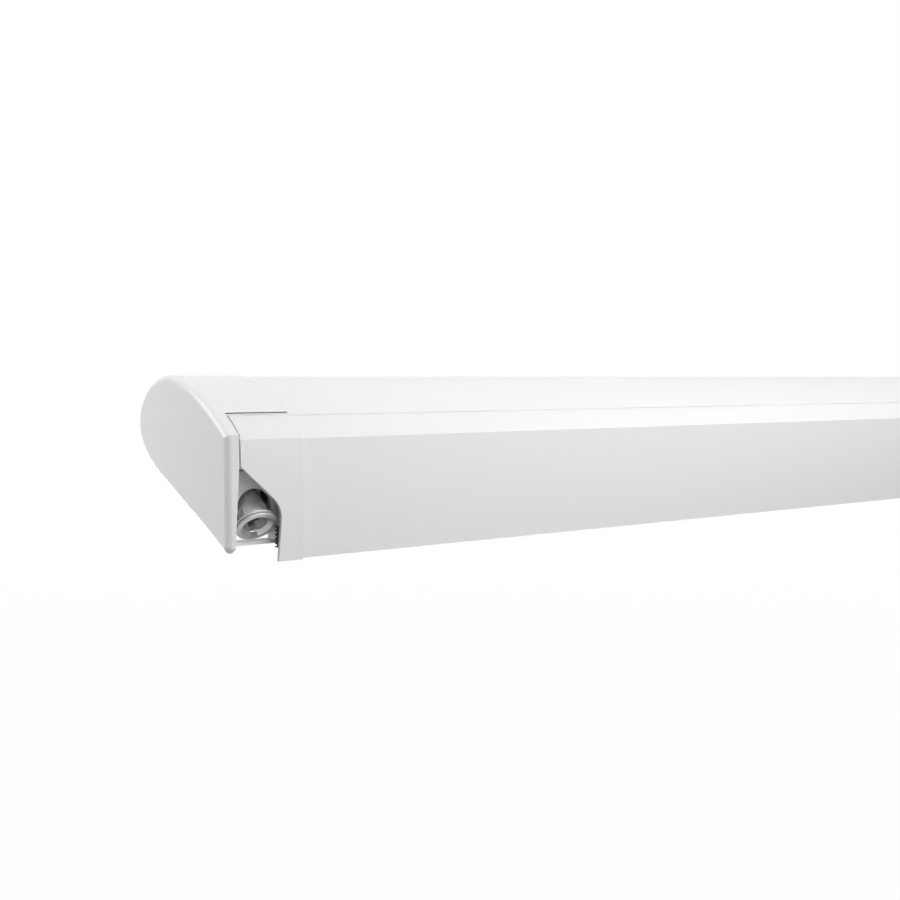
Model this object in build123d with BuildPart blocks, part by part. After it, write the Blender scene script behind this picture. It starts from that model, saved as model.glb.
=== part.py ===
from build123d import *
from math import asin, atan2, cos, degrees, hypot, pi, radians, sin
import os

os.makedirs("parts", exist_ok=True)

# Lengths are in millimetres. X runs along the awning, -Y is its front and Z is up.
# The origin is the middle of the mounting land on the back of the cassette.

# Driving sizes of the whole awning
awning_length = 2600.0
cassette_height = 131.0
overrun = 2.0
slide_gap = 0.3
run_gap = 0.05

# The cross section is drawn for a cassette 131 high: what fills it follows cassette_height,
# while walls, gaps, shafts and the crank's own sizes stay as they are
section = cassette_height / 131
cassette_depth = 182.0 * section
mount_to_front = 172.0 * section
mount_above_floor = 89.5 * section

# The cassette extrusion and its end caps
housing_wall = 2.5
cap_proud = 1.0
cap_plate = 10.0
cap_sleeve = 62.0
cap_overlap = 32.0
cap_edge_round = 5.0 * section
cap_front_taper = 3.8
tip_round_share = 0.032
hood_lip_depth = 24.5 * section
floor_lip_depth = 34.0 * section

# The mounting land on the back, in a slot for hanger plates
land_half = 12.0
land_wall = 4.0
slot_mouth_half = 8.0
slot_depth = 3.0

# The roller and the canopy wound on it
roller_depth = 122.0 * section
roller_below_top = 42.0 * section
tube_radius = 26.0 * section
tube_wall = 1.5
tube_end_gap = 70.0
wound_radius = 31.6 * section
fabric_thickness = 0.5

# The lead rail
rail_end_gap = 54.0
rail_top_drop = 4.2 * section
rail_height = 90.6 * section
rail_wall = 2.8
rail_front_bulge = 1.2 * section
rail_depth = 31.0 * section
rail_shelf_drop = 52.0 * section
rail_back_drop = 80.0 * section
rail_lip = 4.0

# The spring arms: their pivots lie in a plane that falls towards the front
arm_tilt = 13.0
arm_plane_depth = 63.0 * section
arm_plane_drop = 28.7 * section
shoulder_end_gap = 120.0
elbow_from_middle = 80.0
arm_reach = awning_length / 2 - shoulder_end_gap - elbow_from_middle
pivot_offset = 14.5 * section
arm_width = 22.0 * section
arm_height = 38.0 * section
arm_wall = 2.5
arm_corner = 5.0 * section
pin_radius = 5.0 * section
pin_head_radius = 8.0 * section
pin_head = 2.5
ear_thickness = 5.0

# The crank bell and its gearbox
crank_end_gap = 29.6
bell_depth = 13.0 * section
bell_drop = 70.0 * section
bell_slope = 48.0
bell_radius = 13.2
bell_rear_radius = 10.4
bell_flange_radius = 15.9
bell_flange = 1.4
bell_mouth_radius = 12.4
bell_mouth_depth = 3.0
bell_length = 26.0
bell_bore = 9.5
bell_bore_depth = 18.0
swivel_reach = 34.0
swivel_eye_radius = 6.0
swivel_eye_width = 12.0
swivel_pin_radius = 3.0
stem_radius = 4.0
worm_centre_distance = 25.0
worm_pitch_radius = 6.5
wheel_teeth = 13
wheel_width = 6.0
gear_addendum = 2.0
gear_dedendum = 2.3
shaft_radius = 8.0
worm_shaft_radius = 4.0
case_wall = 2.0
case_width = 36.0

# The support legs in the lead rail
leg_end_gap = 95.0
leg_depth = 16.25 * section
leg_drop = 74.0 * section
leg_width = 18.0 * section
leg_height = 28.0 * section
leg_wall = 1.8
foot_from_middle = 156.0
leg_inner_clearance = 0.5
foot_length = 34.0
leg_length = awning_length / 2 - leg_end_gap - foot_from_middle - foot_length

front_y = -mount_to_front
floor_z = -mount_above_floor
end_x = awning_length / 2
housing_end_x = end_x - cap_sleeve + cap_overlap
sides = ((-1, "left"), (1, "right"))

# The cassette's cross section, from the front top corner over the hood, down the back
# and along the floor, as shares of its depth from the front and height from the floor.
section_shares = (
    (0.000, 0.668),
    (0.120, 0.768),
    (0.253, 0.857),
    (0.380, 0.926),
    (0.505, 0.974),
    (0.654, 0.999),
    (0.786, 0.969),
    (0.907, 0.894),
    (0.980, 0.790),
    (1.000, 0.700),
    (0.985, 0.610),
    (0.934, 0.524),
    (0.824, 0.426),
    (0.660, 0.333),
    (0.495, 0.247),
    (0.250, 0.123),
    (0.033, 0.003),
)
corner_z = floor_z + section_shares[0][1] * cassette_height


def section_points(inset):
    """Points of the cross section, moved inwards by inset."""
    points = [
        Vector(front_y + p * cassette_depth, floor_z + q * cassette_height)
        for p, q in section_shares
    ]
    last = len(points) - 1
    moved = []
    for i, point in enumerate(points):
        along = (points[min(i + 1, last)] - points[max(i - 1, 0)]).normalized()
        moved.append(point + Vector(along.Y, -along.X) * inset)
    return moved


def section_sketch(x, inset, wall=0):
    """The cross section at x, moved inwards by inset: closed, or a ring of the given wall."""
    with BuildSketch(Plane.YZ.offset(x)) as sketch:
        for depth, mode in ((inset, Mode.ADD), (inset + wall, Mode.SUBTRACT)):
            if mode == Mode.SUBTRACT and not wall:
                continue
            points = section_points(depth)
            tip = (points[0].X, floor_z + tip_round_share * cassette_height + depth)
            with BuildLine():
                curve = Spline(*points)
                Polyline(curve @ 1, tip, curve @ 0)
            make_face(mode=mode)
    return sketch.sketch


def box_between(low, high, mode=Mode.ADD):
    """A block between two corners, given in any order."""
    size = [abs(b - a) for a, b in zip(low, high)]
    with Locations(tuple((a + b) / 2 for a, b in zip(low, high))):
        Box(*size, mode=mode)


def save(piece, name):
    piece.part.label = name
    export_step(piece.part, f"parts/{name}.step")


def front_opening(low_x, high_x):
    """Cuts away what lies in front of the hood's lip and the floor's lip."""
    top_z = floor_z + cassette_height + overrun
    middle_z = corner_z - hood_lip_depth
    start = front_y - overrun
    box_between((low_x, start, middle_z), (high_x, front_y + hood_lip_depth, top_z), Mode.SUBTRACT)
    box_between(
        (low_x, start, floor_z - overrun),
        (high_x, front_y + floor_lip_depth, middle_z),
        Mode.SUBTRACT,
    )


# The cassette housing: a C-shaped extrusion, open at the front
with BuildPart() as cassette_housing:
    box_between(
        (-housing_end_x, -land_wall, -land_half - land_wall),
        (housing_end_x, slot_depth, land_half + land_wall),
    )
    extrude(
        section_sketch(-housing_end_x, cap_proud), amount=2 * housing_end_x, mode=Mode.INTERSECT
    )
    extrude(section_sketch(-housing_end_x, cap_proud, housing_wall), amount=2 * housing_end_x)
    box_between(
        (-housing_end_x, 0, -land_half), (housing_end_x, slot_depth, land_half), Mode.SUBTRACT
    )
    box_between(
        (-housing_end_x, 0, -slot_mouth_half),
        (housing_end_x, cassette_depth, slot_mouth_half),
        Mode.SUBTRACT,
    )
    front_opening(-housing_end_x - overrun, housing_end_x + overrun)
save(cassette_housing, "cassette_housing")


# The cassette's end caps: a plate across the end and a sleeve over the housing
def cassette_endcap(side):
    """An end cap, built with its outer face at X = 0 and then moved to its end."""
    outward = (side, 0, 0)
    sleeve_x = -side * cap_sleeve
    stop_x = -side * (cap_sleeve - cap_overlap)
    with BuildPart() as cap:
        extrude(section_sketch(sleeve_x, 0), amount=cap_sleeve, dir=outward)
        outer_face = cap.faces().filter_by(Axis.X).sort_by(Axis((0, 0, 0), outward))[-1]
        fillet(outer_face.edges(), cap_edge_round)
        extrude(
            section_sketch(sleeve_x, cap_proud),
            amount=cap_overlap,
            dir=outward,
            mode=Mode.SUBTRACT,
        )
        extrude(
            section_sketch(stop_x, cap_proud + housing_wall),
            amount=cap_sleeve - cap_plate - cap_overlap,
            dir=outward,
            mode=Mode.SUBTRACT,
        )
        front_opening(-side * cap_plate, sleeve_x - side * overrun)
        with BuildSketch(Plane.XZ.offset(-front_y + overrun)) as taper:
            Polygon(
                (-side * cap_plate, corner_z - hood_lip_depth),
                (-side * (cap_plate - cap_front_taper), floor_z - overrun),
                (-side * (cap_plate + overrun), floor_z - overrun),
                (-side * (cap_plate + overrun), corner_z - hood_lip_depth),
                align=None,
            )
        extrude(taper.sketch, amount=hood_lip_depth, dir=(0, 1, 0), mode=Mode.SUBTRACT)
    cap.part.locate(Location((side * end_x, 0, 0)))
    return cap


for side, name in sides:
    save(cassette_endcap(side), f"cassette_endcap_{name}")


# The lead rail: a front panel with a top flange, a closed box and a channel for the legs
rail_end_x = end_x - rail_end_gap
rail_front_y = front_y + cap_proud
rail_top_z = corner_z - rail_top_drop
rail_low_z = rail_top_z - rail_height
rail_back_y = front_y + rail_depth
shelf_z = corner_z - rail_shelf_drop
flange_rear_y = front_y + hood_lip_depth - slide_gap
flange_rise = 12.2 * section
flange_bulge = 1.2 * section
flange_edge = 6.0 * section
box_top_rise = 3.5 * section
keder_bore = 2.9
keder_wall = 1.6
keder_slot = 1.6
keder_z = corner_z - keder_wall
keder_y = rail_back_y - keder_bore - keder_wall


rail_front_radius = (rail_height**2 / 4 + rail_front_bulge**2) / (2 * rail_front_bulge)


def rail_front_at(z, inset):
    """Where the lead rail's curved front lies at a height, moved inwards by inset."""
    across = z - rail_low_z - rail_height / 2
    radius = rail_front_radius - inset
    return rail_front_y + rail_front_radius - (radius**2 - across**2) ** (1 / 2)


def rail_outline(x, inset, low_z):
    """The lead rail's box in cross section: front, curved flange and back."""
    start_z = rail_top_z - inset / 2
    middle_z = (start_z + low_z) / 2
    start = (rail_front_at(start_z, inset), start_z)
    low = (rail_front_at(low_z, inset), low_z)
    end = (flange_rear_y - inset / 2, corner_z + flange_rise - inset)
    middle = ((start[0] + end[0]) / 2 - inset / 2, (start[1] + end[1]) / 2 + flange_bulge)
    with BuildSketch(Plane.YZ.offset(x)) as sketch:
        with BuildLine():
            ThreePointArc(start, middle, end)
            Polyline(
                end,
                (end[0], corner_z + flange_edge - inset),
                (rail_back_y - inset, corner_z + box_top_rise - inset),
                (rail_back_y - inset, low_z),
                low,
            )
            ThreePointArc(low, (rail_front_at(middle_z, inset), middle_z), start)
        make_face()
    return sketch.sketch


with BuildPart() as lead_rail:
    extrude(rail_outline(-rail_end_x, 0, rail_low_z), amount=2 * rail_end_x)
    extrude(
        rail_outline(-rail_end_x, rail_wall, shelf_z),
        amount=2 * rail_end_x,
        mode=Mode.SUBTRACT,
    )
    box_between(
        (-rail_end_x, rail_front_y + rail_wall, rail_low_z + rail_wall),
        (rail_end_x, rail_back_y - rail_wall, shelf_z - rail_wall),
        Mode.SUBTRACT,
    )
    box_between(
        (-rail_end_x, rail_front_y + rail_lip, rail_low_z - overrun),
        (rail_end_x, rail_back_y + overrun, rail_low_z + rail_wall),
        Mode.SUBTRACT,
    )
    box_between(
        (-rail_end_x, rail_back_y - rail_wall - overrun, rail_low_z - overrun),
        (rail_end_x, rail_back_y + overrun, corner_z - rail_back_drop),
        Mode.SUBTRACT,
    )
    with BuildSketch(Plane.YZ.offset(-rail_end_x)) as keder_tube:
        with Locations((keder_y, keder_z)):
            Circle(keder_bore + keder_wall)
    extrude(keder_tube.sketch, amount=2 * rail_end_x)
    with BuildSketch(Plane.YZ.offset(-rail_end_x)) as keder_hole:
        with Locations((keder_y, keder_z)):
            Circle(keder_bore)
            Rectangle(rail_depth, keder_slot, align=(Align.MIN, Align.CENTER))
    extrude(keder_hole.sketch, amount=2 * rail_end_x, mode=Mode.SUBTRACT)
save(lead_rail, "lead_rail")


# The lead rail's end caps. The left one has a cut-out, open at the bottom, for the crank
rail_cap_gap = 11.7
rail_cap_wall = 3.0
rail_cap_side = 2.5
cutout_top_drop = 23.4 * section
cutout_knee = (38.7, 49.2)
cutout_bend = (42.3, 55.0)
cutout_side = (43.8, 62.0)
cutout_foot = (41.5, 100.0)


def lead_rail_cap(side):
    outer_x = side * (end_x - rail_cap_gap)
    inner_x = side * (end_x - cap_sleeve)
    rail_x = side * rail_end_x
    side_x = outer_x - side * rail_cap_side
    outward = (side, 0, 0)
    cap_length = cap_sleeve - rail_cap_gap
    low_z = rail_low_z - cap_proud
    with BuildPart() as cap:
        extrude(rail_outline(inner_x, -cap_proud, low_z), amount=cap_length, dir=outward)
        extrude(
            rail_outline(inner_x, 0, low_z - overrun),
            amount=abs(rail_x - inner_x),
            dir=outward,
            mode=Mode.SUBTRACT,
        )
        extrude(
            rail_outline(rail_x, rail_cap_wall - cap_proud, low_z - overrun),
            amount=abs(side_x - rail_x),
            dir=outward,
            mode=Mode.SUBTRACT,
        )
        box_between(
            (outer_x, flange_rear_y, low_z - overrun),
            (inner_x, rail_back_y + cap_proud + overrun, corner_z + flange_rise + overrun),
            Mode.SUBTRACT,
        )
        if side < 0:
            with BuildSketch(Plane.XZ.offset(-front_y + overrun)) as cutout:
                with BuildLine():
                    start = (-end_x, corner_z - cutout_top_drop)
                    first = (-end_x + rail_cap_gap, corner_z - cutout_top_drop)
                    knee = (-end_x + cutout_knee[0], corner_z - cutout_knee[1] * section)
                    bend = (-end_x + cutout_bend[0], corner_z - cutout_bend[1] * section)
                    straight = (-end_x + cutout_side[0], corner_z - cutout_side[1] * section)
                    foot = (-end_x + cutout_foot[0], corner_z - cutout_foot[1] * section)
                    Polyline(start, first, knee)
                    ThreePointArc(knee, bend, straight)
                    Polyline(straight, foot, (-end_x, foot[1]), start)
                make_face()
            extrude(cutout.sketch, amount=rail_depth + overrun, dir=(0, 1, 0), mode=Mode.SUBTRACT)
    return cap


for side, name in sides:
    save(lead_rail_cap(side), f"lead_rail_cap_{name}")


# The roller: a tube on two plugs. The left plug's shaft carries the worm wheel
roller_y = front_y + roller_depth
roller_z = floor_z + cassette_height - roller_below_top
tube_end_x = end_x - tube_end_gap
plug_length = 25.0
plug_flange = 3.0
plug_flange_radius = 27.5 * section
plug_gap = 0.1
canopy_end_gap = 110.0
canopy_half = end_x - canopy_end_gap
shaft_end_gap = 14.0


def disc_on_roller(low_x, high_x, radius, mode=Mode.ADD):
    """A cylinder on the roller's axis."""
    with Locations(Location(((low_x + high_x) / 2, roller_y, roller_z), (0, 90, 0))):
        Cylinder(radius, abs(high_x - low_x), mode=mode)


with BuildPart() as roller_tube:
    disc_on_roller(-tube_end_x, tube_end_x, tube_radius)
    disc_on_roller(-tube_end_x, tube_end_x, tube_radius - tube_wall, Mode.SUBTRACT)
save(roller_tube, "roller_tube")

with BuildPart() as canopy_roll:
    disc_on_roller(-canopy_half, canopy_half, wound_radius)
    disc_on_roller(-canopy_half, canopy_half, tube_radius + run_gap, Mode.SUBTRACT)
save(canopy_roll, "canopy_roll")


def roller_plug(side):
    tube_x = side * tube_end_x
    flange_x = tube_x + side * plug_flange
    with BuildPart() as plug:
        spigot_radius = tube_radius - tube_wall - plug_gap
        disc_on_roller(tube_x - side * plug_length, tube_x, spigot_radius)
        disc_on_roller(tube_x, flange_x, plug_flange_radius)
        disc_on_roller(flange_x, side * (end_x - shaft_end_gap), shaft_radius)
    return plug


for side, name in sides:
    save(roller_plug(side), f"roller_plug_{name}")


# The canopy between the roller and the lead rail, and the keder that holds it there
keder_radius = 2.7
keder_tail = keder_bore + keder_wall + slide_gap
sheet_start_y = rail_back_y + 2 * slide_gap
roller_reach = hypot(roller_y - sheet_start_y, roller_z - keder_z)
sheet_rise = asin((wound_radius + 2 * slide_gap) / roller_reach)
sheet_rise += atan2(roller_z - keder_z, roller_y - sheet_start_y)
sheet_length = (roller_reach**2 - (wound_radius + 2 * slide_gap) ** 2) ** (1 / 2)

with BuildPart() as canopy_keder:
    with Locations(Location((0, keder_y, keder_z), (0, 90, 0))):
        Cylinder(keder_radius, 2 * canopy_half)
    box_between(
        (-canopy_half, keder_y, keder_z - fabric_thickness / 2),
        (canopy_half, keder_y + keder_tail, keder_z + fabric_thickness / 2),
    )
save(canopy_keder, "canopy_keder")

with BuildPart() as canopy_fabric:
    with BuildSketch(Plane.YZ.offset(-canopy_half)) as strip:
        with Locations(Location((sheet_start_y, keder_z), degrees(sheet_rise))):
            Rectangle(sheet_length, fabric_thickness, align=(Align.MIN, Align.CENTER))
    extrude(strip.sketch, amount=2 * canopy_half)
save(canopy_fabric, "canopy_fabric")


# The spring arms, built in their own plane: X along the awning, Y to the back, Z square to it
arm_plane = Plane(
    origin=(0, front_y + arm_plane_depth, corner_z - arm_plane_drop),
    x_dir=(1, 0, 0),
    z_dir=(0, -sin(radians(arm_tilt)), cos(radians(arm_tilt))),
)
shoulder_x = end_x - shoulder_end_gap
elbow_x = shoulder_x - arm_reach
knuckle_reach = 30.0 * section
elbow_reach = 32.0 * section
elbow_eye_radius = 13.0 * section
elbow_shoulder = 14.0 * section
fork_gap_half = 10.0 * section
eye_gap = 0.3
slot_radius = 16.0 * section
spigot_length = 25.0
spigot_gap = 0.2
half_high = arm_height / 2
half_wide = arm_width / 2


def arm_tube(side, row):
    """A hollow arm between its two castings; row is +1 behind the pivots' plane, -1 in front."""
    start_x = side * (elbow_x + elbow_reach)
    centre = arm_plane.from_local_coords((start_x, row * pivot_offset, 0))
    across = Plane(origin=centre, x_dir=arm_plane.y_dir, z_dir=(side, 0, 0))
    length = arm_reach - knuckle_reach - elbow_reach
    with BuildPart() as tube:
        with BuildSketch(across) as profile:
            RectangleRounded(arm_width, arm_height, arm_corner)
            RectangleRounded(
                arm_width - 2 * arm_wall,
                arm_height - 2 * arm_wall,
                arm_corner - arm_wall,
                mode=Mode.SUBTRACT,
            )
        extrude(profile.sketch, amount=length)
    return tube


def spigot(side, x, row, direction):
    """The end of a casting that plugs into an arm's tube."""
    centre = arm_plane.from_local_coords((x, row * pivot_offset, 0))
    across = Plane(origin=centre, x_dir=arm_plane.y_dir, z_dir=(side * direction, 0, 0))
    around = 2 * (arm_wall + spigot_gap)
    with BuildSketch(across) as profile:
        RectangleRounded(arm_width - around, arm_height - around, arm_corner - arm_wall)
    extrude(profile.sketch, amount=spigot_length)


def end_knuckle(side, row):
    """The casting at the shoulder or the wrist, with its eye for the pivot pin."""
    middle = row * pivot_offset
    tube_x = side * (shoulder_x - knuckle_reach)
    with BuildPart(arm_plane) as knuckle:
        with Locations((side * shoulder_x, middle, 0)):
            Cylinder(half_wide, arm_height)
        box_between(
            (side * shoulder_x, middle - half_wide, -half_high),
            (tube_x, middle + half_wide, half_high),
        )
        spigot(side, tube_x, row, -1)
        with Locations((side * shoulder_x, middle, 0)):
            Cylinder(pin_radius + run_gap, 2 * arm_height, mode=Mode.SUBTRACT)
    return knuckle


def elbow_outline(side, row, low, high):
    """The elbow casting's outline, from the pin to the tube, between two heights."""
    tube_x = side * (elbow_x + elbow_reach)
    shoulder_at = side * (elbow_x + elbow_shoulder)
    middle = row * pivot_offset
    with BuildSketch(arm_plane.offset(low)) as outline:
        with Locations((side * elbow_x, 0)):
            Circle(elbow_eye_radius)
        with Locations((shoulder_at, middle)):
            Circle(half_wide)
        make_hull()
        with Locations(((shoulder_at + tube_x) / 2, middle)):
            Rectangle(abs(tube_x - shoulder_at), arm_width)
    extrude(outline.sketch, amount=high - low)


def elbow_fork(side):
    """The upper arm's elbow casting: two ears round the forearm's eye."""
    tube_x = side * (elbow_x + elbow_reach)
    with BuildPart(arm_plane) as fork:
        elbow_outline(side, 1, -half_high, half_high)
        with Locations((side * elbow_x, 0, 0)):
            Cylinder(slot_radius, 2 * fork_gap_half, mode=Mode.SUBTRACT)
        box_between(
            (side * (elbow_x - slot_radius), -arm_width, -fork_gap_half),
            (tube_x, pivot_offset - half_wide - slide_gap, fork_gap_half),
            Mode.SUBTRACT,
        )
        spigot(side, tube_x, 1, 1)
        with Locations((side * elbow_x, 0, 0)):
            Cylinder(pin_radius + run_gap, 2 * arm_height, mode=Mode.SUBTRACT)
    return fork


def elbow_eye(side):
    """The forearm's elbow casting: an eye between the fork's ears."""
    tube_x = side * (elbow_x + elbow_reach)
    full_x = side * (elbow_x + elbow_reach - elbow_shoulder / 2)
    middle = -pivot_offset
    eye_half = fork_gap_half - eye_gap
    with BuildPart(arm_plane) as eye:
        elbow_outline(side, -1, -eye_half, eye_half)
        box_between(
            (full_x, middle - half_wide, -half_high), (tube_x, middle + half_wide, half_high)
        )
        spigot(side, tube_x, -1, 1)
        with Locations((side * elbow_x, 0, 0)):
            Cylinder(pin_radius + run_gap, 2 * arm_height, mode=Mode.SUBTRACT)
    return eye


def pivot_pin(x, y, half_length):
    """A headed pivot pin across an arm's joint."""
    with BuildPart(arm_plane) as pin:
        with Locations((x, y, 0)):
            Cylinder(pin_radius, 2 * half_length)
        with Locations((x, y, half_length + pin_head / 2), (x, y, -half_length - pin_head / 2)):
            Cylinder(pin_head_radius, pin_head)
    return pin


# Brackets that carry the arms: the shoulder's on the cassette floor, the wrist's on the rail
ear_gap = 0.4
bracket_web = 6.0
bracket_eye_radius = 12.5 * section
bracket_foot = 40.0
ear_inner = half_high + ear_gap
ear_outer = ear_inner + ear_thickness


def bracket_body(side, row, front_reach):
    """Two ears above and below the knuckle, joined by a web on the outboard side."""
    x = side * shoulder_x
    middle = row * pivot_offset
    web_x = x + side * (half_wide + 2 * ear_gap)
    web_end_x = web_x + side * bracket_web
    with BuildSketch(arm_plane.offset(-ear_outer)) as outline:
        with Locations((x, middle)):
            Circle(bracket_eye_radius)
        with Locations(((x + web_end_x) / 2, middle + bracket_eye_radius)):
            width = abs(web_end_x - x)
            depth = 2 * bracket_eye_radius + front_reach
            Rectangle(width, depth, align=(Align.CENTER, Align.MAX))
    extrude(outline.sketch, amount=2 * ear_outer)
    with BuildSketch(arm_plane.offset(-ear_inner)) as gap:
        with Locations(((x - side * bracket_foot + web_x) / 2, middle)):
            Rectangle(abs(web_x - x) + bracket_foot, 4 * bracket_foot)
    extrude(gap.sketch, amount=2 * ear_inner, mode=Mode.SUBTRACT)
    with BuildSketch(arm_plane.offset(-ear_outer)) as hole:
        with Locations((x, middle)):
            Circle(pin_radius + run_gap)
    extrude(hole.sketch, amount=2 * ear_outer, mode=Mode.SUBTRACT)


def shoulder_bracket(side):
    low_x = side * (shoulder_x - bracket_foot)
    with BuildPart() as bracket:
        bracket_body(side, 1, 0)
        foot_x = side * shoulder_x
        with BuildSketch(arm_plane.offset(-ear_outer)) as foot:
            with Locations((foot_x, pivot_offset)):
                Rectangle(2 * bracket_eye_radius, 2 * bracket_eye_radius)
        extrude(foot.sketch, amount=-bracket_foot)
        extrude(
            section_sketch(low_x, cap_proud + housing_wall),
            amount=2 * bracket_foot,
            dir=(side, 0, 0),
            mode=Mode.INTERSECT,
        )
        with BuildSketch(arm_plane.offset(-ear_outer)) as recess:
            with Locations((foot_x, pivot_offset)):
                Circle(pin_head_radius + slide_gap)
        extrude(recess.sketch, amount=-pin_head - slide_gap, mode=Mode.SUBTRACT)
    return bracket


def wrist_bracket(side):
    with BuildPart() as bracket:
        bracket_body(side, -1, bracket_foot)
        with BuildSketch(Plane.XY.offset(floor_z)) as ahead:
            with Locations((side * shoulder_x, rail_back_y)):
                Rectangle(4 * bracket_foot, 4 * bracket_foot, align=(Align.CENTER, Align.MAX))
        extrude(ahead.sketch, amount=2 * cassette_height, mode=Mode.SUBTRACT)
    return bracket


for side, name in sides:
    save(arm_tube(side, 1), f"upper_arm_{name}")
    save(arm_tube(side, -1), f"forearm_{name}")
    save(end_knuckle(side, 1), f"shoulder_knuckle_{name}")
    save(end_knuckle(side, -1), f"wrist_knuckle_{name}")
    save(elbow_fork(side), f"elbow_fork_{name}")
    save(elbow_eye(side), f"elbow_eye_{name}")
    save(shoulder_bracket(side), f"shoulder_bracket_{name}")
    save(wrist_bracket(side), f"wrist_bracket_{name}")
    save(pivot_pin(side * shoulder_x, pivot_offset, ear_outer), f"shoulder_pin_{name}")
    save(pivot_pin(side * shoulder_x, -pivot_offset, ear_outer), f"wrist_pin_{name}")
    save(pivot_pin(side * elbow_x, 0, half_high), f"elbow_pin_{name}")


# The crank: a bell on a swivel, and a worm gear behind it that turns the roller
crank_x = -end_x + crank_end_gap
slope = radians(bell_slope)
swivel_y = front_y + bell_depth + swivel_reach * cos(slope)
swivel_z = corner_z - bell_drop + swivel_reach * sin(slope)
reach_to_roller = hypot(roller_y - swivel_y, roller_z - swivel_z)
worm_slope = atan2(roller_z - swivel_z, roller_y - swivel_y)
worm_slope -= asin(worm_centre_distance / reach_to_roller)
worm_reach = (reach_to_roller**2 - worm_centre_distance**2) ** (1 / 2)
bell_plane = Plane(
    origin=(crank_x, swivel_y, swivel_z), x_dir=(1, 0, 0), z_dir=(0, -cos(slope), -sin(slope))
)
worm_plane = Plane(
    origin=(crank_x, swivel_y, swivel_z),
    x_dir=(1, 0, 0),
    z_dir=(0, cos(worm_slope), sin(worm_slope)),
)
bell_start = swivel_reach - bell_length
bore_start = swivel_reach - bell_bore_depth
stem_head_radius = 6.5
stem_head = 2.0
recess_start = bore_start - stem_head - 2 * slide_gap
slot_width = 5.5
slot_length = 15.0
slot_leg = 4.0
slot_turn = 28.0
slot_start = 38.0
slot_count = 3


def rod(low, high, radius, mode=Mode.ADD):
    """A cylinder along the workplane's axis, between two heights."""
    with Locations((0, 0, (low + high) / 2)):
        Cylinder(radius, high - low, mode=mode)


def cone(low, high, low_radius, high_radius, mode=Mode.ADD):
    """A cone along the workplane's axis, between two heights."""
    with Locations((0, 0, (low + high) / 2)):
        Cone(low_radius, high_radius, high - low, mode=mode)


def slot_cut(low, high, radius, turn):
    """Cuts the bayonet slots out to a radius, between two heights, turned round the axis."""
    with BuildSketch(bell_plane.offset(low)) as slots:
        with PolarLocations(0, slot_count, start_angle=slot_start + turn):
            Rectangle(radius, slot_width, align=(Align.MIN, Align.CENTER))
    extrude(slots.sketch, amount=high - low, mode=Mode.SUBTRACT)


# The bell: a tapered cup with a double rim and angled slots for the crank's cross pin
flange_start = swivel_reach - 3 * bell_flange

with BuildPart(bell_plane) as crank_bell:
    cone(bell_start, swivel_reach - bell_flange, bell_rear_radius, bell_radius)
    rod(flange_start, flange_start + bell_flange, bell_flange_radius)
    rod(swivel_reach - bell_flange, swivel_reach, bell_flange_radius)
    rod(bore_start, swivel_reach, bell_bore, Mode.SUBTRACT)
    mouth_start = swivel_reach - bell_mouth_depth
    cone(mouth_start, swivel_reach, bell_bore, bell_mouth_radius, Mode.SUBTRACT)
    rod(recess_start, bore_start, stem_head_radius + slide_gap, Mode.SUBTRACT)
    rod(bell_start, recess_start, stem_radius + run_gap, Mode.SUBTRACT)
    slot_cut(swivel_reach - slot_length, flange_start, bell_flange_radius, 0)
    slot_cut(swivel_reach - slot_length, swivel_reach, bell_mouth_radius, 0)
    slot_cut(
        swivel_reach - slot_length, swivel_reach - slot_length + slot_leg, bell_flange_radius, slot_turn
    )
save(crank_bell, "crank_bell")

with BuildPart(bell_plane) as crank_yoke:
    with Locations(Location((0, 0, 0), (0, 90, 0))):
        Cylinder(swivel_eye_radius, swivel_eye_width)
    rod(0, recess_start + slide_gap, stem_radius)
    rod(recess_start + slide_gap, recess_start + slide_gap + stem_head, stem_head_radius)
    with Locations(Location((0, 0, 0), (0, 90, 0))):
        Cylinder(swivel_pin_radius + run_gap, 2 * swivel_eye_width, mode=Mode.SUBTRACT)
save(crank_yoke, "crank_yoke")

# The worm and its wheel
gear_module = 2 * (worm_centre_distance - worm_pitch_radius) / wheel_teeth
thread_pitch = pi * gear_module
tooth_share = 0.34
tooth_tip_share = 0.16
wheel_pitch_radius = gear_module * wheel_teeth / 2
wheel_root_radius = wheel_pitch_radius - gear_dedendum
wheel_tip_radius = wheel_pitch_radius + gear_addendum
worm_root_radius = worm_pitch_radius - gear_dedendum
thread_turns = 2
thread_length = thread_turns * thread_pitch
shaft_start = 11.0
worm_tail = 19.0
root_sink = 0.5
core_runout = 1.5

with BuildPart() as worm_shaft:
    rod(shaft_start, worm_reach + worm_tail, worm_shaft_radius)
    thread_start = worm_reach - thread_length / 2
    thread_end = worm_reach + thread_length / 2
    rod(thread_start - core_runout, thread_end + core_runout, worm_root_radius)
    half_root = tooth_share * thread_pitch / 2
    half_tip = tooth_tip_share * thread_pitch / 2
    tooth_height = gear_dedendum + gear_addendum
    with BuildLine(mode=Mode.PRIVATE) as thread_path:
        Helix(thread_pitch, thread_length, worm_root_radius, center=(0, 0, thread_start))
    path = thread_path.line.rotate(Axis.Z, -90 - 180 * thread_turns)
    radial = Vector((path @ 0).X, (path @ 0).Y, 0)
    with BuildSketch(Plane(origin=path @ 0, x_dir=radial, z_dir=path % 0)) as thread_profile:
        Polygon(
            (-root_sink, -half_root),
            (tooth_height, -half_tip),
            (tooth_height, half_tip),
            (-root_sink, half_root),
            align=None,
        )
    sweep(thread_profile.sketch, path=path, is_frenet=True)
worm_shaft.part.locate(worm_plane.location)
save(worm_shaft, "worm_shaft")

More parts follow.
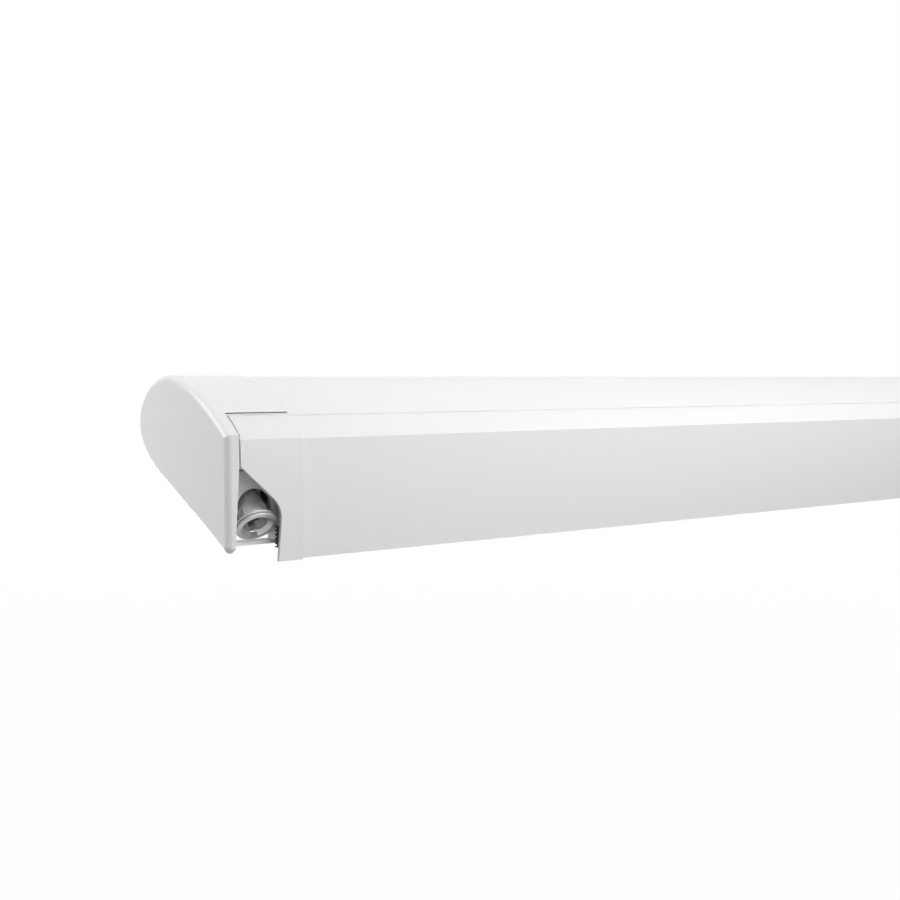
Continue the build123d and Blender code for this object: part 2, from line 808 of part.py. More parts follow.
with BuildPart() as worm_wheel:
    with BuildSketch(Plane.YZ.offset(crank_x - wheel_width / 2)) as wheel:
        facing = degrees(worm_slope) - 90 + 180 / wheel_teeth
        with Locations((roller_y, roller_z)):
            Circle(wheel_root_radius)
            with PolarLocations(0, wheel_teeth, start_angle=facing):
                Polygon(
                    (wheel_root_radius - root_sink, -half_root),
                    (wheel_tip_radius, -half_tip),
                    (wheel_tip_radius, half_tip),
                    (wheel_root_radius - root_sink, half_root),
                    align=None,
                )
            Circle(shaft_radius + run_gap, mode=Mode.SUBTRACT)
    extrude(wheel.sketch, amount=wheel_width)
save(worm_wheel, "worm_wheel")


# The gearbox case, screwed to the left end cap, with the shaft's neck and the swivel's fork
case_gap = 0.8
case_outer_x = -end_x + cap_plate
case_inner_x = case_outer_x + case_width
neck_radius = 8.0
neck_start = 12.0
fork_ear = 4.0
fork_radius = 7.0
fork_half = swivel_eye_width / 2 + slide_gap


def case_outline(x, wall):
    """The case's outline round the wheel and the worm, with the given wall."""
    with BuildSketch(Plane.YZ.offset(x)) as outline:
        with Locations((roller_y, roller_z)):
            Circle(wheel_tip_radius + case_gap + wall)
        for end in (-1, 1):
            about = worm_plane.offset(worm_reach + end * thread_length / 2).origin
            with Locations((about.Y, about.Z)):
                Circle(worm_pitch_radius + gear_addendum + case_gap + wall)
        make_hull()
    return outline.sketch


with BuildPart() as gearbox_case:
    extrude(case_outline(case_outer_x, case_wall), amount=case_width)
    with Locations(worm_plane.offset(neck_start).location):
        Cylinder(neck_radius, worm_reach - neck_start, align=(Align.CENTER, Align.CENTER, Align.MIN))
    with BuildSketch(Plane.YZ.offset(crank_x - fork_half - fork_ear)) as fork:
        with Locations((swivel_y, swivel_z)):
            Circle(fork_radius)
        base = worm_plane.offset(neck_start + neck_radius).origin
        with Locations((base.Y, base.Z)):
            Circle(neck_radius)
        make_hull()
    extrude(fork.sketch, amount=2 * (fork_half + fork_ear))
    with BuildSketch(Plane.YZ.offset(crank_x - fork_half)) as fork_slot:
        with Locations((swivel_y, swivel_z)):
            Circle(neck_start)
    extrude(fork_slot.sketch, amount=2 * fork_half, mode=Mode.SUBTRACT)
    extrude(case_outline(case_outer_x, 0), amount=case_width - case_wall, mode=Mode.SUBTRACT)
    disc_on_roller(case_outer_x, case_inner_x, shaft_radius + run_gap, Mode.SUBTRACT)
    with Locations(worm_plane.location):
        Cylinder(
            worm_shaft_radius + run_gap,
            worm_reach + worm_tail,
            align=(Align.CENTER, Align.CENTER, Align.MIN),
            mode=Mode.SUBTRACT,
        )
    with Locations(Location((crank_x, swivel_y, swivel_z), (0, 90, 0))):
        Cylinder(swivel_pin_radius + run_gap, 4 * fork_half, mode=Mode.SUBTRACT)
    extrude(
        section_sketch(case_outer_x, cap_proud + housing_wall),
        amount=2 * case_width,
        mode=Mode.INTERSECT,
    )
save(gearbox_case, "gearbox_case")

with BuildPart() as swivel_pin:
    with Locations(Location((crank_x, swivel_y, swivel_z), (0, 90, 0))):
        Cylinder(swivel_pin_radius, 2 * (fork_half + fork_ear))
save(swivel_pin, "swivel_pin")

# The gearbox cover: a hood in front of the swivel, with a round-topped opening for the bell
cover_end_gap = 50.0
cover_front = 17.0 * section
cover_back = 33.0 * section
cover_drop = 28.0 * section
cover_low_drop = 83.8 * section
cover_front_drop = 67.0 * section
cover_wall = 2.0
cover_corner = 5.0
cover_hole_drop = 55.6 * section
cover_hole_radius = 14.1

with BuildPart() as gearbox_cover:
    high_x = -end_x + cover_end_gap
    with BuildSketch(Plane.XY.offset(corner_z - cover_low_drop)) as footprint:
        with Locations(((case_outer_x + high_x) / 2, front_y + (cover_front + cover_back) / 2)):
            Rectangle(high_x - case_outer_x, cover_back - cover_front)
        corner = footprint.vertices().sort_by(Axis.X)[-2:].sort_by(Axis.Y)[0]
        fillet(corner, cover_corner)
    extrude(footprint.sketch, amount=cover_low_drop - cover_drop)
    box_between(
        (case_outer_x, front_y + cover_front + cover_wall, corner_z - cover_low_drop + cover_wall),
        (high_x - cover_wall, front_y + cover_back, corner_z - cover_drop - cover_wall),
        Mode.SUBTRACT,
    )
    with BuildSketch(Plane.XZ.offset(-front_y)) as arch:
        hole_z = corner_z - cover_hole_drop
        with Locations((crank_x, hole_z)):
            Circle(cover_hole_radius)
            hole_foot = cover_front_drop - cover_hole_drop
            Rectangle(2 * cover_hole_radius, hole_foot, align=(Align.CENTER, Align.MAX))
    extrude(arch.sketch, amount=cover_front + cover_corner, dir=(0, 1, 0), mode=Mode.SUBTRACT)
    box_between(
        (case_outer_x, front_y + cover_front, corner_z - cover_low_drop + cover_wall),
        (high_x - cover_wall, front_y + cover_front + cover_wall, corner_z - cover_front_drop),
        Mode.SUBTRACT,
    )
save(gearbox_cover, "gearbox_cover")

# The bush that carries the roller's right end, in a boss of the end cap
bush_outer = 12.0
boss_radius = 16.0
boss_length = 20.0

with BuildPart() as roller_bush:
    inner_x = end_x - cap_plate
    disc_on_roller(inner_x - boss_length, inner_x, bush_outer)
    disc_on_roller(inner_x - boss_length, inner_x, shaft_radius + run_gap, Mode.SUBTRACT)
save(roller_bush, "roller_bush")

with BuildPart() as bearing_boss:
    disc_on_roller(inner_x - boss_length, inner_x, boss_radius)
    disc_on_roller(inner_x - boss_length, inner_x, bush_outer, Mode.SUBTRACT)
save(bearing_boss, "bearing_boss")


# The support legs, folded into the lead rail's channel
leg_pin_radius = 4.0
leg_bracket_length = 34.0
leg_ear_gap = 0.4
leg_corner = 3.0
leg_x = end_x - leg_end_gap
leg_y = front_y + leg_depth
leg_z = corner_z - leg_drop
channel_front_y = rail_front_y + rail_wall
channel_back_y = rail_back_y - rail_wall
hinge_reach = 24.0
hinge_spigot = 30.0
leg_inner_start = 40.0


def leg_hinge(side):
    """The casting at the leg's top, with its eye, plugged into the outer tube."""
    with BuildPart() as hinge:
        with BuildSketch(Plane.XZ.offset(-leg_y)) as outline:
            with Locations((side * leg_x, leg_z)):
                Circle(leg_height / 2)
                box_align = (Align.MAX if side > 0 else Align.MIN, Align.CENTER)
                Rectangle(hinge_reach, leg_height, align=box_align)
                Circle(leg_pin_radius + run_gap, mode=Mode.SUBTRACT)
        extrude(outline.sketch, amount=leg_width / 2, both=True)
        across = Plane(
            origin=(side * (leg_x - hinge_reach), leg_y, leg_z), x_dir=(0, 1, 0), z_dir=(-side, 0, 0)
        )
        around = 2 * (leg_wall + spigot_gap)
        with BuildSketch(across) as plug:
            RectangleRounded(leg_width - around, leg_height - around, leg_corner - leg_wall)
        extrude(plug.sketch, amount=hinge_spigot - leg_wall)
    return hinge


def leg_tube(side, start, length, width, height, wall, corner):
    """A rounded tube of the leg, starting a distance in from the pivot."""
    across = Plane(
        origin=(side * (leg_x - start), leg_y, leg_z), x_dir=(0, 1, 0), z_dir=(-side, 0, 0)
    )
    with BuildPart() as tube:
        with BuildSketch(across) as profile:
            RectangleRounded(width, height, corner)
            RectangleRounded(width - 2 * wall, height - 2 * wall, corner / 2, mode=Mode.SUBTRACT)
        extrude(profile.sketch, amount=length)
    return tube


def leg_foot(side):
    """The leg's foot: a plug in the inner tube and a wedge that stands on the ground."""
    across = Plane(
        origin=(side * (leg_x - leg_length), leg_y, leg_z), x_dir=(0, 1, 0), z_dir=(-side, 0, 0)
    )
    inner_around = 4 * leg_wall + 2 * leg_inner_clearance + 2 * spigot_gap
    with BuildPart() as foot:
        with BuildSketch(across) as plate:
            RectangleRounded(leg_width, leg_height, leg_corner)
        with BuildSketch(across) as plug:
            RectangleRounded(leg_width - inner_around, leg_height - inner_around, leg_corner / 4)
        extrude(plug.sketch, amount=-hinge_spigot)
        extrude(plate.sketch, amount=foot_length)
    return foot


def leg_bracket(side):
    """Two cheeks in the rail's channel that hold the leg's pin."""
    with BuildPart() as bracket:
        box_between(
            (side * (leg_x - leg_bracket_length / 2), channel_front_y, leg_z - leg_height / 2),
            (side * (leg_x + leg_bracket_length / 2), channel_back_y, shelf_z - rail_wall),
        )
        box_between(
            (side * (leg_x - leg_bracket_length), leg_y - leg_width / 2 - leg_ear_gap, floor_z * 2),
            (
                side * (leg_x + leg_bracket_length),
                leg_y + leg_width / 2 + leg_ear_gap,
                leg_z + leg_height / 2 + leg_ear_gap,
            ),
            Mode.SUBTRACT,
        )
        with Locations(Location((side * leg_x, leg_y, leg_z), (90, 0, 0))):
            Cylinder(leg_pin_radius + run_gap, 2 * leg_width, mode=Mode.SUBTRACT)
    return bracket


def leg_pin(side):
    middle_y = (channel_front_y + channel_back_y) / 2
    with BuildPart() as pin:
        with Locations(Location((side * leg_x, middle_y, leg_z), (90, 0, 0))):
            Cylinder(leg_pin_radius, channel_back_y - channel_front_y)
    return pin


for side, name in sides:
    save(leg_bracket(side), f"leg_bracket_{name}")
    save(leg_pin(side), f"leg_pin_{name}")
    save(leg_hinge(side), f"leg_hinge_{name}")
    outer_length = leg_length - hinge_reach
    save(
        leg_tube(side, hinge_reach, outer_length, leg_width, leg_height, leg_wall, leg_corner),
        f"leg_outer_{name}",
    )
    inner_width = leg_width - 2 * leg_wall - 2 * leg_inner_clearance
    inner_height = leg_height - 2 * leg_wall - 2 * leg_inner_clearance
    inner_start = hinge_reach + leg_inner_start
    save(
        leg_tube(
            side,
            inner_start,
            leg_length - inner_start,
            inner_width,
            inner_height,
            leg_wall,
            leg_corner / 2,
        ),
        f"leg_inner_{name}",
    )
    save(leg_foot(side), f"leg_foot_{name}")


# The black ribbed buffers at the ends of the leg channel
buffer_end_gap = 46.0
buffer_back = 16.5 * section
buffer_top_drop = 71.0 * section
buffer_low_drop = 87.0 * section
buffer_rib = 1.5
buffer_ribs = 5


def rail_buffer(side):
    outer_x = side * (end_x - buffer_end_gap)
    inner_x = side * rail_end_x
    front = front_y + rail_cap_wall + rail_front_bulge
    back = front_y + buffer_back
    step = (buffer_low_drop - buffer_top_drop) / buffer_ribs
    with BuildPart() as buffer:
        box_between(
            (outer_x, front, corner_z - buffer_low_drop), (inner_x, back, corner_z - buffer_top_drop)
        )
        for i in range(buffer_ribs):
            groove_z = corner_z - buffer_low_drop + (i + 0.5) * step
            box_between(
                (outer_x - side * buffer_rib, front, groove_z - step / 4),
                (outer_x + side * overrun, back, groove_z + step / 4),
                Mode.SUBTRACT,
            )
    return buffer


for side, name in sides:
    save(rail_buffer(side), f"rail_buffer_{name}")
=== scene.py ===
from math import acos, atan2, cos, hypot, pi, sin

import bpy
from mathutils import Matrix, Vector


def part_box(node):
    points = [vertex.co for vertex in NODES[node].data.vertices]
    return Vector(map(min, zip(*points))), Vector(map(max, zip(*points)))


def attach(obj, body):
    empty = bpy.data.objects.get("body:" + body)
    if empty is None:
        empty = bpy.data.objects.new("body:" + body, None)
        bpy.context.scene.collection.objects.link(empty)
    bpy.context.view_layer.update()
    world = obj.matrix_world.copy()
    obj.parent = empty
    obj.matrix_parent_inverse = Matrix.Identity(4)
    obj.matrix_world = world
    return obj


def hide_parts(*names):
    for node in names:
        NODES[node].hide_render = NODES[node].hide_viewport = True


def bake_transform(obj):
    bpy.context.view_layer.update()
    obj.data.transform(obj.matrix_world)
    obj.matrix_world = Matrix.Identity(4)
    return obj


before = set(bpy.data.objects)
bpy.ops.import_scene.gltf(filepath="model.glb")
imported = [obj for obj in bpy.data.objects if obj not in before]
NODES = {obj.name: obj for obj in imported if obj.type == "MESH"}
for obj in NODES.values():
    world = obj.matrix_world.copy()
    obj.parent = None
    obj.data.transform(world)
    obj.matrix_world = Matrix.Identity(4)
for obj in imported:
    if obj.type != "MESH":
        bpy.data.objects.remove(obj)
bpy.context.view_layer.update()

SIDES = ("left", "right")
DOWN = Vector((0, 0, -1))


# Camera, fitted to the photograph
CAMERA_AT = Vector((-1.63911, -0.94335, 0.03968))
CAMERA_RIGHT = Vector((0.821482, -0.570235, 0.0))
CAMERA_UP = Vector((0.035977, 0.051828, 0.998008))
LENS = 46.0
SENSOR = 36.0

camera_data = bpy.data.cameras.new("camera")
camera_data.lens = LENS
camera_data.sensor_width = SENSOR
camera_data.clip_start = 0.01
camera_data.clip_end = 60.0
camera = bpy.data.objects.new("camera", camera_data)
bpy.context.scene.collection.objects.link(camera)
camera_back = CAMERA_RIGHT.cross(CAMERA_UP)
turn = Matrix((CAMERA_RIGHT, CAMERA_UP, camera_back)).transposed()
camera.matrix_world = Matrix.Translation(CAMERA_AT) @ turn.to_4x4()
bpy.context.scene.camera = camera
bpy.context.scene.view_settings.view_transform = "Standard"


# Materials
DRIFT_SCALE = 6.0            # slow changes of colour over a surface
DRIFT_DETAIL = 3.0
GRAIN_DETAIL = 2.0
GRAIN_HEIGHT = 0.0004
ROUGHNESS_SPREAD = 0.04
COAT_ROUGHNESS = 0.12


def add(tree, kind, **values):
    node = tree.nodes.new(kind)
    for name, value in values.items():
        setattr(node, name, value)
    return node


def new_material(name):
    material = bpy.data.materials.new(name)
    material.use_nodes = True
    return material, material.node_tree, material.node_tree.nodes["Principled BSDF"]


def textured(name, colour, rough, grain, bump, tint, metal=0.0, coat=0.0):
    """A surface with a fine grain in its bump and roughness and a slow drift in its colour."""
    material, tree, shader = new_material(name)
    shader.inputs["Metallic"].default_value = metal
    shader.inputs["Coat Weight"].default_value = coat
    shader.inputs["Coat Roughness"].default_value = COAT_ROUGHNESS
    place = add(tree, "ShaderNodeTexCoord")
    slow = add(tree, "ShaderNodeTexNoise")
    slow.inputs["Scale"].default_value = DRIFT_SCALE
    slow.inputs["Detail"].default_value = DRIFT_DETAIL
    fine = add(tree, "ShaderNodeTexNoise")
    fine.inputs["Scale"].default_value = grain
    fine.inputs["Detail"].default_value = GRAIN_DETAIL
    tree.links.new(place.outputs["Object"], slow.inputs["Vector"])
    tree.links.new(place.outputs["Object"], fine.inputs["Vector"])
    drift = add(tree, "ShaderNodeMix", data_type="RGBA")
    drift.inputs["A"].default_value = (*[max(0.0, c - tint) for c in colour], 1)
    drift.inputs["B"].default_value = (*[min(1.0, c + tint) for c in colour], 1)
    tree.links.new(slow.outputs["Fac"], drift.inputs["Factor"])
    tree.links.new(drift.outputs["Result"], shader.inputs["Base Color"])
    spread = add(tree, "ShaderNodeMapRange")
    spread.inputs["To Min"].default_value = rough - ROUGHNESS_SPREAD
    spread.inputs["To Max"].default_value = rough + ROUGHNESS_SPREAD
    tree.links.new(fine.outputs["Fac"], spread.inputs["Value"])
    tree.links.new(spread.outputs["Result"], shader.inputs["Roughness"])
    relief = add(tree, "ShaderNodeBump")
    relief.inputs["Strength"].default_value = bump
    relief.inputs["Distance"].default_value = GRAIN_HEIGHT
    tree.links.new(fine.outputs["Fac"], relief.inputs["Height"])
    tree.links.new(relief.outputs["Normal"], shader.inputs["Normal"])
    return material


def grey(level):
    return (level, level, level)


WHITE = grey(0.87)
MILL = (0.72, 0.73, 0.74)
CAST = (0.80, 0.805, 0.81)
ZINC = (0.58, 0.58, 0.59)
BRONZE = (0.70, 0.52, 0.27)
RUBBER_AND_SHADE = (0.018, 0.018, 0.019)
powder_white = textured("powder_white", WHITE, 0.32, grain=1400, bump=0.05, tint=0.004, coat=0.15)
plastic_white = textured("plastic_white", WHITE, 0.26, grain=700, bump=0.02, tint=0.003, coat=0.25)
plastic_grey = textured("plastic_grey", grey(0.86), 0.40, grain=1800, bump=0.10, tint=0.01)
bell_grey = textured("bell_grey", grey(0.72), 0.30, grain=1800, bump=0.03, tint=0.01, metal=0.35)
# Real black rubber on the rail buffers. The same black also paints the shade strips in the seams
# between the caps.
rubber_and_shade_black = textured("rubber_and_shade_black", RUBBER_AND_SHADE, 0.6, grain=1500, bump=0.15, tint=0.003)
mill_finish = textured("mill_finish", MILL, 0.30, grain=500, bump=0.08, tint=0.02, metal=1.0)
cast_white = textured("cast_white", CAST, 0.42, grain=900, bump=0.18, tint=0.01)
zinc_steel = textured("zinc_steel", ZINC, 0.28, grain=700, bump=0.05, tint=0.02, metal=1.0)
bronze = textured("bronze", BRONZE, 0.33, grain=700, bump=0.05, tint=0.02, metal=1.0)
keder_white = textured("keder_white", grey(0.78), 0.45, grain=900, bump=0.05, tint=0.01)

LOOKS = {
    powder_white: ["cassette_housing", "lead_rail", "upper_arm", "forearm"],
    plastic_white: ["cassette_endcap", "lead_rail_cap", "bearing_boss"],
    plastic_grey: ["gearbox_cover", "leg_foot"],
    bell_grey: ["crank_bell"],
    rubber_and_shade_black: ["rail_buffer"],
    mill_finish: ["roller_tube", "leg_outer", "leg_inner"],
    cast_white: [
        "roller_plug", "shoulder_knuckle", "wrist_knuckle", "elbow_fork", "elbow_eye",
        "shoulder_bracket", "wrist_bracket", "leg_bracket", "leg_hinge", "gearbox_case",
    ],
    zinc_steel: [
        "crank_yoke", "worm_shaft", "swivel_pin", "shoulder_pin", "wrist_pin", "elbow_pin",
        "leg_pin",
    ],
    bronze: ["worm_wheel", "roller_bush"],
    keder_white: ["canopy_keder"],
}
for material, stems in LOOKS.items():
    for stem in stems:
        for name in (stem, f"{stem}_left", f"{stem}_right"):
            if name in NODES:
                for place in NODES[name].material_slots:
                    place.material = material


# Cloth
CLOTH_COLOUR = (0.60, 0.62, 0.64)
STRIPE_COLOUR = (0.42, 0.44, 0.47)
STRIPE_PERIOD = 0.12
WAVE_PERIOD = 0.314          # a wave texture's period at a scale of 1
WEAVE_SCALE = 260.0
WEAVE_STRENGTH = 0.25
WEAVE_HEIGHT = 0.0003


def cloth_material(name):
    """Coated woven cloth: a fine weave, and stripes along the awning's depth."""
    material, tree, shader = new_material(name)
    shader.inputs["Sheen Weight"].default_value = 0.15
    shader.inputs["Roughness"].default_value = 0.55
    place = add(tree, "ShaderNodeTexCoord")
    across = add(tree, "ShaderNodeTexWave", wave_type="BANDS", bands_direction="X")
    across.inputs["Scale"].default_value = WAVE_PERIOD / STRIPE_PERIOD
    weave = add(tree, "ShaderNodeTexWave", wave_type="BANDS", bands_direction="X")
    weft = add(tree, "ShaderNodeTexWave", wave_type="BANDS", bands_direction="Y")
    for threads in (weave, weft):
        threads.inputs["Scale"].default_value = WEAVE_SCALE
    both = add(tree, "ShaderNodeMath", operation="MULTIPLY")
    shades = add(tree, "ShaderNodeMix", data_type="RGBA")
    shades.inputs["A"].default_value = (*CLOTH_COLOUR, 1)
    shades.inputs["B"].default_value = (*STRIPE_COLOUR, 1)
    relief = add(tree, "ShaderNodeBump")
    relief.inputs["Strength"].default_value = WEAVE_STRENGTH
    relief.inputs["Distance"].default_value = WEAVE_HEIGHT
    for node in (across, weave, weft):
        tree.links.new(place.outputs["Object"], node.inputs["Vector"])
    tree.links.new(across.outputs["Fac"], shades.inputs["Factor"])
    tree.links.new(shades.outputs["Result"], shader.inputs["Base Color"])
    tree.links.new(weave.outputs["Fac"], both.inputs[0])
    tree.links.new(weft.outputs["Fac"], both.inputs[1])
    tree.links.new(both.outputs["Value"], relief.inputs["Height"])
    tree.links.new(relief.outputs["Normal"], shader.inputs["Normal"])
    return material


cloth = cloth_material("cloth")


# Canopy: the wound roll, and the stretch from it to the lead rail
THICK = 0.0005
TURN_PITCH = 1.08            # distance between turns, in thicknesses
ROLL_THICK = THICK * 0.9
TURN_SEGMENTS = 40
STEPS_ALONG = 2
RUN_STEPS = 24
RAIL_END_IN = 0.0001
RAIL_END_UP = 0.0003


def mesh_piece(name, points, faces, material, smooth=True):
    mesh = bpy.data.meshes.new(name)
    mesh.from_pydata(points, [], faces)
    mesh.materials.append(material)
    for polygon in mesh.polygons:
        polygon.use_smooth = smooth
    mesh.validate()
    mesh.update()
    piece = bpy.data.objects.new(name, mesh)
    bpy.context.scene.collection.objects.link(piece)
    return piece


def ribbon(name, line, thickness, half_width, steps, material):
    """A sheet of even thickness that follows a line in the cross section, along X."""
    points, faces = [], []
    count = len(line)
    normals = []
    for i in range(count):
        a, b = line[max(i - 1, 0)], line[min(i + 1, count - 1)]
        length = hypot(b[0] - a[0], b[1] - a[1])
        normals.append((-(b[1] - a[1]) / length, (b[0] - a[0]) / length))
    for k in range(steps + 1):
        x = -half_width + 2 * half_width * k / steps
        for side in (-0.5, 0.5):
            for (y, z), (ny, nz) in zip(line, normals):
                points.append((x, y + ny * side * thickness, z + nz * side * thickness))
    ring = 2 * count
    for k in range(steps):
        a, b = k * ring, (k + 1) * ring
        for i in range(count - 1):
            faces.append((a + i, a + i + 1, b + i + 1, b + i))
            faces.append((a + count + i + 1, a + count + i, b + count + i, b + count + i + 1))
        for i, j in ((0, count), (2 * count - 1, count - 1)):
            faces.append((a + i, b + i, b + j, a + j))
    for a, flip in ((0, False), (steps * ring, True)):
        for i in range(count - 1):
            face = (a + i, a + count + i, a + count + i + 1, a + i + 1)
            faces.append(face[::-1] if flip else face)
    return mesh_piece(name, points, faces, material)


low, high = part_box("canopy_roll")
roll_y, roll_z = (low.y + high.y) / 2, (low.z + high.z) / 2
roll_outer = (high.z - low.z) / 2
cloth_half = (high.x - low.x) / 2
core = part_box("roller_tube")
core_radius = (core[1].z - core[0].z) / 2
turns = (roll_outer - core_radius - THICK) / (THICK * TURN_PITCH)
sheet_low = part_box("canopy_fabric")[0]
rail_end = (sheet_low.y + RAIL_END_IN, sheet_low.z + RAIL_END_UP)
reach = hypot(rail_end[0] - roll_y, rail_end[1] - roll_z)
lift = atan2(rail_end[1] - roll_z, rail_end[0] - roll_y)
outer = roll_outer - THICK / 2
touch = lift - acos(outer / reach)
leave = (roll_y + outer * cos(touch), roll_z + outer * sin(touch))
spiral = []
segments = int(turns * TURN_SEGMENTS)
for i in range(segments + 1):
    share = i / segments
    angle = touch - 2 * pi * turns * (1 - share)
    radius = core_radius + THICK / 2 + (outer - core_radius - THICK / 2) * share
    spiral.append((roll_y + radius * cos(angle), roll_z + radius * sin(angle)))
roll = ribbon("wound_canopy", spiral, ROLL_THICK, cloth_half, STEPS_ALONG, cloth)
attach(roll, "roller")
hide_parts("canopy_roll")

run = []
for i in range(RUN_STEPS + 1):
    share = i / RUN_STEPS
    y = leave[0] + (rail_end[0] - leave[0]) * share
    run.append((y, leave[1] + (rail_end[1] - leave[1]) * share))
canopy = ribbon("canopy_sheet", run, THICK, cloth_half, STEPS_ALONG, cloth)
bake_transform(canopy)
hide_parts("canopy_fabric")


# Black strips in the seams between the caps, shaped like rubber seals: painted shade of the gap
SEAM_Y = -0.1470             # middle of the long strip, on the lip of the cassette's end cap
SHADE_STRIP_HALF = 0.0007
SHADE_STRIP_START = 1.2893
SHADE_STRIP_LENGTH = 0.0505
SHADE_STRIP_RISE = 0.0002
SHADE_STRIP_INSET = 0.0008          # how far behind its middle the long strip's height is read
SHORT_X = 1.2876             # middle of the short strip, on the outer edge of the rail's cap
SHORT_HALF = 0.0004
SHORT_FRONT = -0.1708
SHORT_RISE = 0.0001
SHORT_LEAD = 0.3             # steps between the seam and the short strip's rear end
EDGE_DROP = 0.0003           # how far a strip's edges sink in
BEVEL_AT = 0.6
SHADE_STRIP_STEPS = 8
ABOVE = 0.1


def shade_strip_piece(name, centres, across, rise, body):
    """A flat black strip with bevelled edges along a line of surface points: painted shade in a
    seam.
    """
    profile = ((-1, -EDGE_DROP), (-BEVEL_AT, rise), (BEVEL_AT, rise), (1, -EDGE_DROP))
    points, faces = [], []
    for centre in centres:
        for share, lift in profile:
            points.append(tuple(centre + across * share + Vector((0, 0, lift))))
    for k in range(len(centres) - 1):
        for j in range(3):
            corner = 4 * k + j
            faces.append((corner, corner + 1, corner + 5, corner + 4))
        faces.append((4 * k + 3, 4 * k, 4 * k + 4, 4 * k + 7))
    last = len(points) - 4
    faces += [(3, 2, 1, 0), (last, last + 1, last + 2, last + 3)]
    shade_strip = mesh_piece(name, points, faces, rubber_and_shade_black, smooth=False)
    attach(shade_strip, body)


def surface_height(piece, x, y):
    """The highest point of a node's mesh over (x, y)."""
    return piece.ray_cast(Vector((x, y, ABOVE)), DOWN)[1].z


# On each side, a long and a short black strip paint the shadow in the gap between the caps.
for side, sign in zip(SIDES, (-1, 1)):
    cap = NODES[f"cassette_endcap_{side}"]
    long_line = []
    for k in range(SHADE_STRIP_STEPS + 1):
        x = sign * (SHADE_STRIP_START - SHADE_STRIP_LENGTH * k / SHADE_STRIP_STEPS)
        long_line.append(Vector((x, SEAM_Y, surface_height(cap, x, SEAM_Y + SHADE_STRIP_INSET))))
    long_across = Vector((0, sign * SHADE_STRIP_HALF, 0))
    shade_strip_piece(f"cap_shade_strip_{side}", long_line, long_across, SHADE_STRIP_RISE, "cassette")
    rail_cap = NODES[f"lead_rail_cap_{side}"]
    short_line = []
    for k in range(SHADE_STRIP_STEPS + 1):
        y = SEAM_Y + (SHORT_FRONT - SEAM_Y) * (k + SHORT_LEAD) / (SHADE_STRIP_STEPS + SHORT_LEAD)
        height = surface_height(rail_cap, sign * (SHORT_X - SHORT_HALF), y)
        short_line.append(Vector((sign * SHORT_X, y, height)))
    short_across = Vector((-SHORT_HALF, 0, 0))
    shade_strip_piece(f"side_shade_strip_{side}", short_line, short_across, SHORT_RISE, "lead_rail_frame")


# Studio
WORLD_LIGHT = 0.27
FLOOR_Z = -2.55
FLOOR_HALF = 14.0
FLOOR_PAINT = grey(0.32)
FLOOR_GLOW = 0.86            # with the light on its paint, the floor shows as white


def seen_directly(tree):
    """1 for what the camera sees, also in gloss and through glass, and 0 for other light."""
    rays = add(tree, "ShaderNodeLightPath")
    first = add(tree, "ShaderNodeMath", operation="MAXIMUM")
    second = add(tree, "ShaderNodeMath", operation="MAXIMUM")
    tree.links.new(rays.outputs["Is Camera Ray"], first.inputs[0])
    tree.links.new(rays.outputs["Is Glossy Ray"], first.inputs[1])
    tree.links.new(first.outputs["Value"], second.inputs[0])
    tree.links.new(rays.outputs["Is Transmission Ray"], second.inputs[1])
    return second.outputs["Value"]


def background(strength_for_light):
    world = bpy.data.worlds.new("studio")
    bpy.context.scene.world = world
    world.use_nodes = True
    tree = world.node_tree
    shown = tree.nodes["Background"]
    light = add(tree, "ShaderNodeBackground")
    for shader, strength in ((shown, 1.0), (light, strength_for_light)):
        shader.inputs["Color"].default_value = (1, 1, 1, 1)
        shader.inputs["Strength"].default_value = strength
    mix = add(tree, "ShaderNodeMixShader")
    tree.links.new(seen_directly(tree), mix.inputs["Fac"])
    tree.links.new(light.outputs["Background"], mix.inputs[1])
    tree.links.new(shown.outputs["Background"], mix.inputs[2])
    tree.links.new(mix.outputs["Shader"], tree.nodes["World Output"].inputs["Surface"])


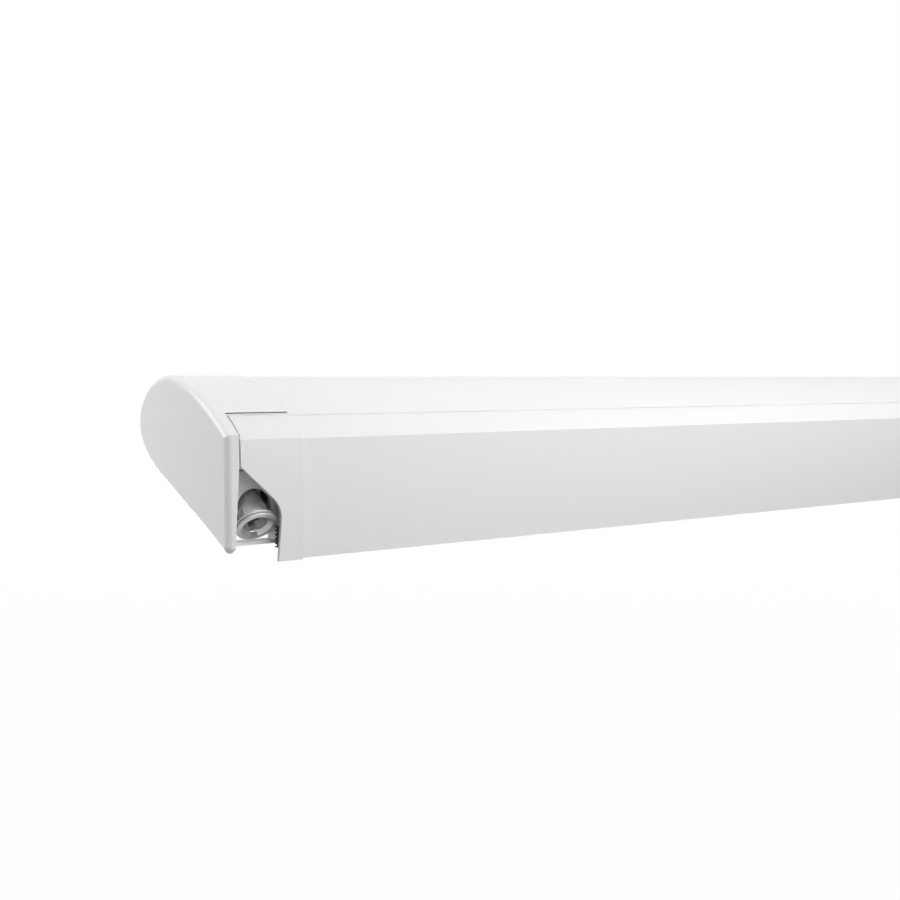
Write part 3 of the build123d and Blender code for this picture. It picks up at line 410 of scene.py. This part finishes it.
def white_floor():
    material, tree, paint = new_material("floor_white")
    paint.inputs["Base Color"].default_value = (*FLOOR_PAINT, 1)
    paint.inputs["Roughness"].default_value = 0.9
    glow = add(tree, "ShaderNodeEmission")
    share = add(tree, "ShaderNodeMath", operation="MULTIPLY")
    share.inputs[1].default_value = FLOOR_GLOW
    mix = add(tree, "ShaderNodeAddShader")
    tree.links.new(seen_directly(tree), share.inputs[0])
    tree.links.new(share.outputs["Value"], glow.inputs["Strength"])
    tree.links.new(paint.outputs["BSDF"], mix.inputs[0])
    tree.links.new(glow.outputs["Emission"], mix.inputs[1])
    tree.links.new(mix.outputs["Shader"], tree.nodes["Material Output"].inputs["Surface"])
    corners = [
        (x * FLOOR_HALF, y * FLOOR_HALF, FLOOR_Z) for x, y in ((-1, -1), (1, -1), (1, 1), (-1, 1))
    ]
    return mesh_piece("floor", corners, [(0, 1, 2, 3)], material, smooth=False)


background(WORLD_LIGHT)
white_floor()


def soft_light(name, at, towards, size_x, size_y, power):
    data = bpy.data.lights.new(name, "AREA")
    data.shape = "RECTANGLE"
    data.size = size_x
    data.size_y = size_y
    data.energy = power
    lamp = bpy.data.objects.new(name, data)
    bpy.context.scene.collection.objects.link(lamp)
    aim = Vector(towards) - Vector(at)
    lamp.rotation_euler = aim.to_track_quat("-Z", "Y").to_euler()
    lamp.location = at
    lamp.visible_camera = False


soft_light("key", (0.0, -2.0, 3.4), (0.0, -0.1, 0.0), 6.0, 2.0, 15.5)
soft_light("strip", (0.0, -0.62, 0.42), (0.0, -0.17, -0.03), 3.0, 0.25, 1.5)
soft_light("front", (0.0, -4.6, 0.7), (0.0, -1.5, -0.3), 3.0, 1.2, 9.0)
soft_light("near", (-0.85, -0.80, 0.62), (-0.85, -0.14, 0.0), 0.8, 0.4, 5.4)
soft_light("far", (0.85, -0.80, 0.62), (0.85, -0.14, 0.0), 0.8, 0.4, 5.0)
soft_light("side", (-2.3, 0.55, 0.5), (-1.3, -0.08, 0.0), 1.0, 1.0, 11.0)
soft_light("right_side", (2.3, 0.55, 0.5), (1.3, -0.08, 0.0), 1.0, 1.0, 11.0)
soft_light("low", (-1.25, -0.75, -0.5), (-1.25, -0.16, -0.08), 0.3, 0.3, 0.7)
soft_light("back", (0.0, 2.6, -0.3), (0.0, 0.0, 0.0), 3.0, 1.0, 20.0)
